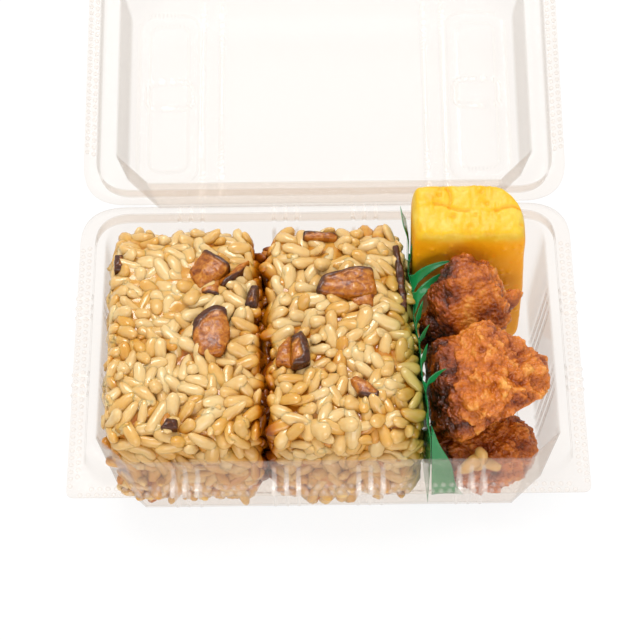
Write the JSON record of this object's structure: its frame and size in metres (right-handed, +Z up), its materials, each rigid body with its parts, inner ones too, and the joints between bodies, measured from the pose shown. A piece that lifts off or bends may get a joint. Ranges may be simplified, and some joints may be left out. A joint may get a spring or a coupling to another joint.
{
  "type": "bento box meal",
  "caption": "Open clear hinged food pack with seasoned rice blocks, mushroom pieces, rolled omelette, fried chicken and a green grass-cut divider.",
  "frame": {"origin": "centre of the tray's flat underside", "axes": "+Z up, +Y from the front of the tray towards the hinge and the open lid, +X right"},
  "size_m": [0.152, 0.2101, 0.0538],
  "materials": {
    "clear_plastic": "clear thermoformed sheet",
    "rice": "moist seasoned cooked rice",
    "mushroom": "simmered mushroom",
    "omelette": "smooth cooked egg",
    "chicken": "crisp fried crust",
    "green_film": "thin green film"
  },
  "bodies": {
    "tray": {"tray": "clear_plastic", "rice_left": "rice", "rice_right": "rice", "mushroom_1": "mushroom", "mushroom_2": "mushroom", "mushroom_3": "mushroom", "mushroom_4": "mushroom", "mushroom_5": "mushroom", "mushroom_6": "mushroom", "mushroom_7": "mushroom", "mushroom_8": "mushroom", "mushroom_9": "mushroom", "mushroom_10": "mushroom", "omelette": "omelette", "chicken_back": "chicken", "chicken_front": "chicken", "chicken_low": "chicken", "divider": "green_film"},
    "lid": {"lid": "clear_plastic"}
  },
  "joints": [
    {"name": "lid_hinge", "type": "hinge", "parent": "tray", "child": "lid", "pos_m": [0, 0.053, 0.0282], "axis": [1, 0, 0], "range_deg": [-10, 169]}
  ]
}
